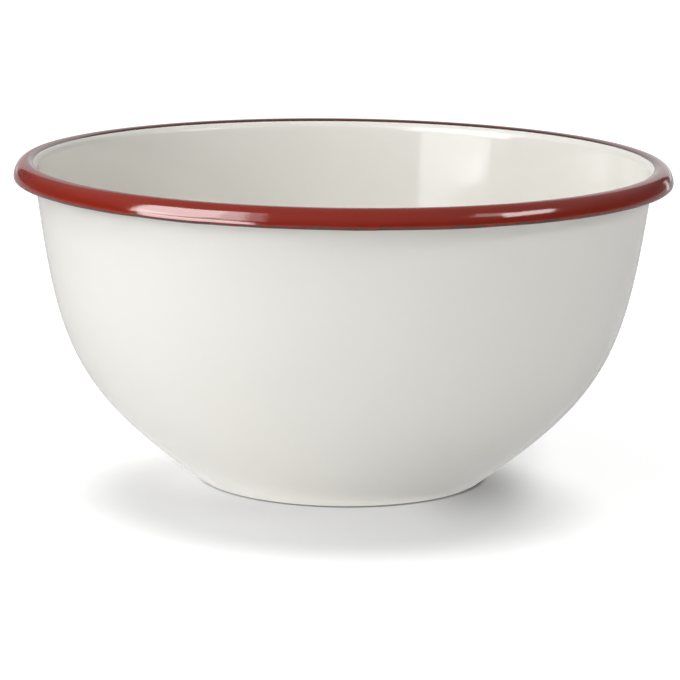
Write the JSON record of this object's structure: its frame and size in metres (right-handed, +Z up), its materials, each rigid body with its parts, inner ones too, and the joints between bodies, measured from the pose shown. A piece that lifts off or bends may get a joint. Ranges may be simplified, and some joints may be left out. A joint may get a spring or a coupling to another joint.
{
  "type": "enamelled steel mixing bowl",
  "caption": "Deep round mixing bowl of pressed steel, enamelled warm white inside and out, with a flat base ring and an outward rolled rim coated in brick red.",
  "frame": {"origin": "middle of the flat face that the bowl stands on, on the bowl's axis", "axes": "+Z up along the bowl's axis, out of its mouth; X and Y in the plane of the table, all round alike"},
  "size_m": [0.24, 0.24, 0.1175],
  "materials": {
    "sheet_steel": "bare low-carbon enamelling sheet, fired grey, closed in by the enamel",
    "ground_enamel": "thin blue-black ground coat, fired glossy, under the colour coats",
    "white_enamel": "warm white vitreous enamel, glossy, with a faint fired ripple",
    "red_enamel": "brick red vitreous enamel, glossy, a little thin and dark along its edges"
  },
  "bodies": {
    "root": {"pressed_steel_shell": "sheet_steel", "ground_coat_inside": "ground_enamel", "ground_coat_outside": "ground_enamel", "white_coat_inside": "white_enamel", "white_coat_outside": "white_enamel", "red_rim_coat": "red_enamel"}
  },
  "joints": []
}
